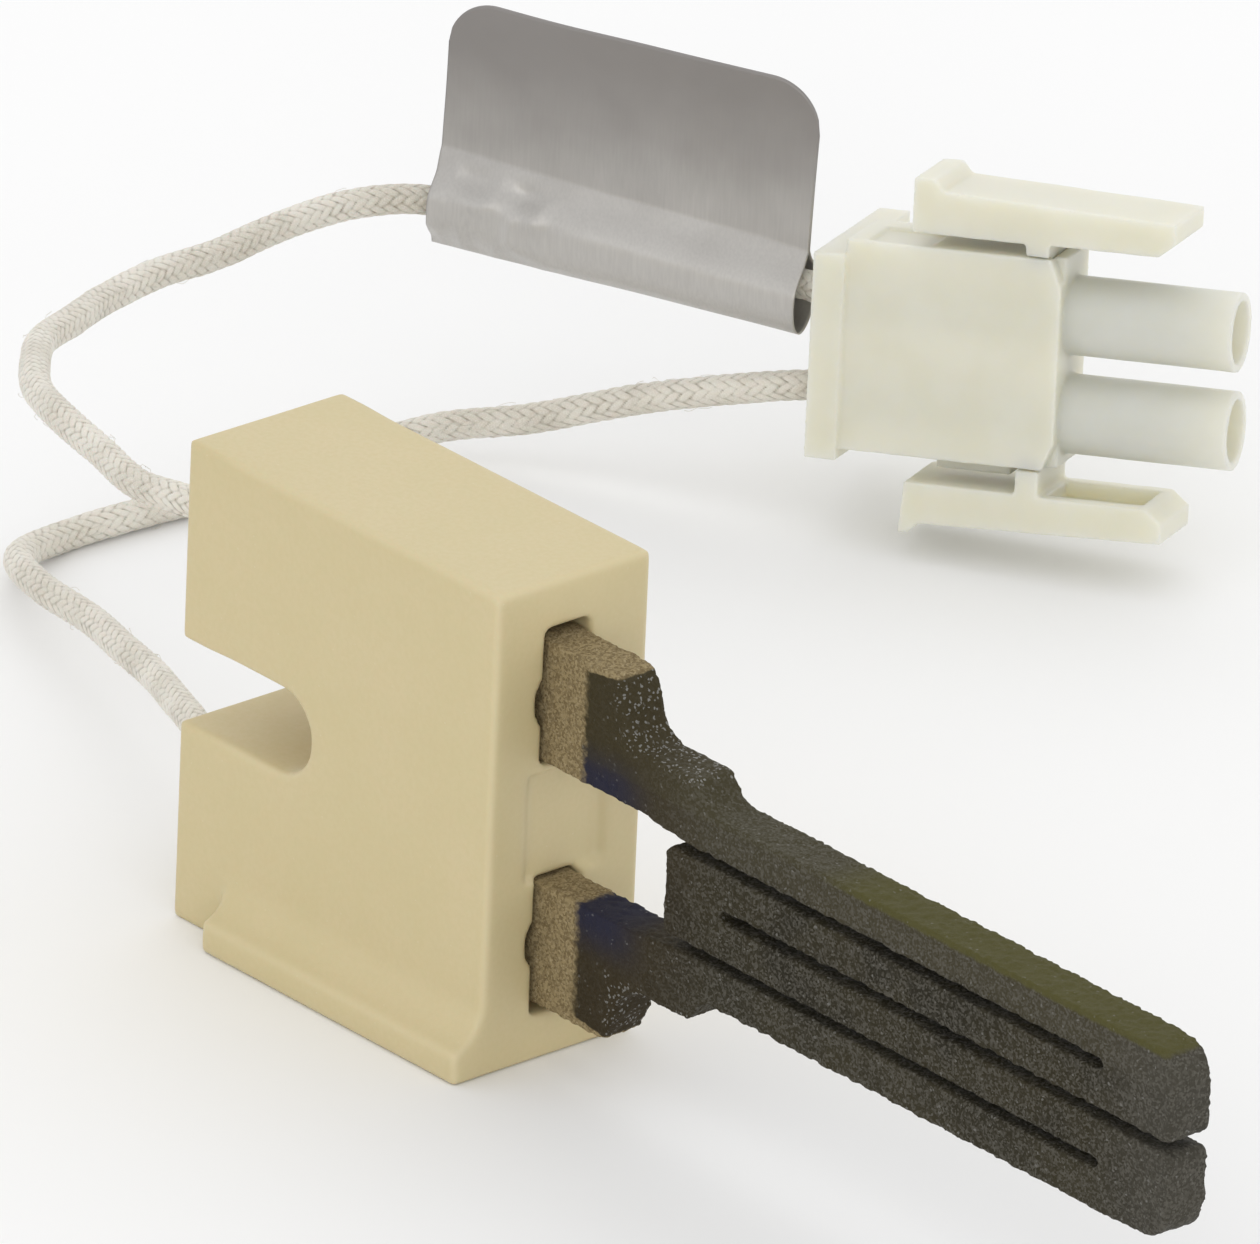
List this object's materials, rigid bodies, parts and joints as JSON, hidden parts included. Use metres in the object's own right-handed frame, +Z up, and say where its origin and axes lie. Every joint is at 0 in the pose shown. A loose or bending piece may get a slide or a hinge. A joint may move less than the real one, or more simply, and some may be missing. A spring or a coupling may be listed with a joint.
{
  "type": "hot surface igniter",
  "caption": "Hot surface igniter: serpentine carbide element in a notched ceramic holder, with braided leads, a foil flag and a latching plug.",
  "frame": {"origin": "middle of the holder's base, under its main block without the flange", "axes": "+X the way the element points out of the holder, +Y from the flanged broad face to the plain one, +Z up from the base"},
  "size_m": [0.1348, 0.0908, 0.0318],
  "materials": {
    "holder_ceramic": "satin",
    "carbide": "rough",
    "cement": "rough",
    "terminal_metal": "satin",
    "strand_metal": "satin",
    "glass_braid": "matte",
    "flag_foil": "satin",
    "nylon": "satin",
    "contact_metal": "satin"
  },
  "bodies": {
    "igniter": {"ceramic_block": "holder_ceramic", "heating_element": "carbide", "upper_terminal": "terminal_metal", "lower_terminal": "terminal_metal", "upper_cement": "cement", "lower_cement": "cement", "upper_rear_cement": "cement", "lower_rear_cement": "cement", "upper_strands": "strand_metal", "lower_strands": "strand_metal", "upper_lead": "glass_braid", "lower_lead": "glass_braid", "label_flag": "flag_foil", "plug_housing": "nylon", "upper_contact": "contact_metal", "lower_contact": "contact_metal", "upper_plug_strands": "strand_metal", "lower_plug_strands": "strand_metal"},
    "upper_latch": {"upper_latch": "nylon"},
    "lower_latch": {"lower_latch": "nylon"}
  },
  "joints": [
    {"name": "upper_latch_hinge", "type": "hinge", "parent": "igniter", "child": "upper_latch", "pos_m": [-0.02512, 0.07437, 0.01996], "axis": [0.5117, -0.8378, 0.1905], "range_deg": [0, 5], "stiffness_Nm_per_rad": 0.15},
    {"name": "lower_latch_hinge", "type": "hinge", "parent": "igniter", "child": "lower_latch", "pos_m": [-0.02312, 0.07251, 0.00643], "axis": [-0.5117, 0.8378, -0.1905], "range_deg": [0, 5], "stiffness_Nm_per_rad": 0.15}
  ]
}
